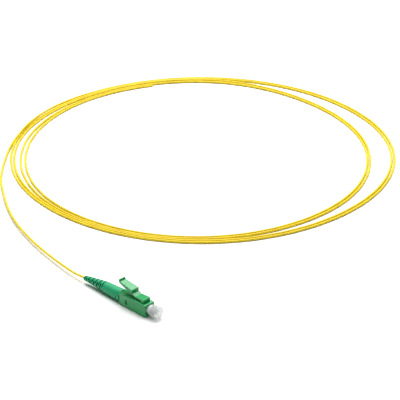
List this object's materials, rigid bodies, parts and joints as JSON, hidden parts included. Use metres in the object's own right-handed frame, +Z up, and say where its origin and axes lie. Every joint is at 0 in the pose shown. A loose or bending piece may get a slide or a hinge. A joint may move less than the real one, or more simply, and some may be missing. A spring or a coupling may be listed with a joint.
{
  "type": "fibre optic pigtail",
  "caption": "Yellow buffered fibre in a loose coil, with a green latching connector, ribbed boot and push-on dust cap on one end and the other end bare.",
  "frame": {"origin": "under the middle of the connector, on the surface it lies on", "axes": "+X along the connector from the boot towards the ferrule, +Y to the side where the coil lies, +Z up through the latch"},
  "size_m": [0.1582, 0.182, 0.0091],
  "materials": {
    "green_moulding": "satin moulded",
    "green_rubber": "satin moulded",
    "white_ceramic": "polished",
    "bright_steel": "turned",
    "clear_white": "translucent moulded",
    "yellow_buffer": "smooth extruded"
  },
  "bodies": {
    "connector": {"housing": "green_moulding", "back_post": "green_moulding", "ferrule_spring": "bright_steel", "boot": "green_rubber", "fibre_lead": "yellow_buffer", "fibre_coil": "yellow_buffer"},
    "latch": {"latch": "green_moulding"},
    "ferrule": {"ferrule": "white_ceramic", "ferrule_flange": "bright_steel"},
    "dust_cap": {"dust_cap": "clear_white"}
  },
  "joints": [
    {"name": "latch_press", "type": "hinge", "parent": "connector", "child": "latch", "pos_m": [0.01225, 0, 0.00525], "axis": [0, -1, 0], "range_deg": [0, 8], "stiffness_Nm_per_rad": 0.02},
    {"name": "ferrule_float", "type": "slide", "parent": "connector", "child": "ferrule", "axis": [-1, 0, 0], "range_m": [0, 0.0004], "stiffness_N_per_m": 1200},
    {"name": "cap_pull", "type": "slide", "parent": "connector", "child": "dust_cap", "axis": [1, 0, 0], "range_m": [0, 0.006]}
  ]
}
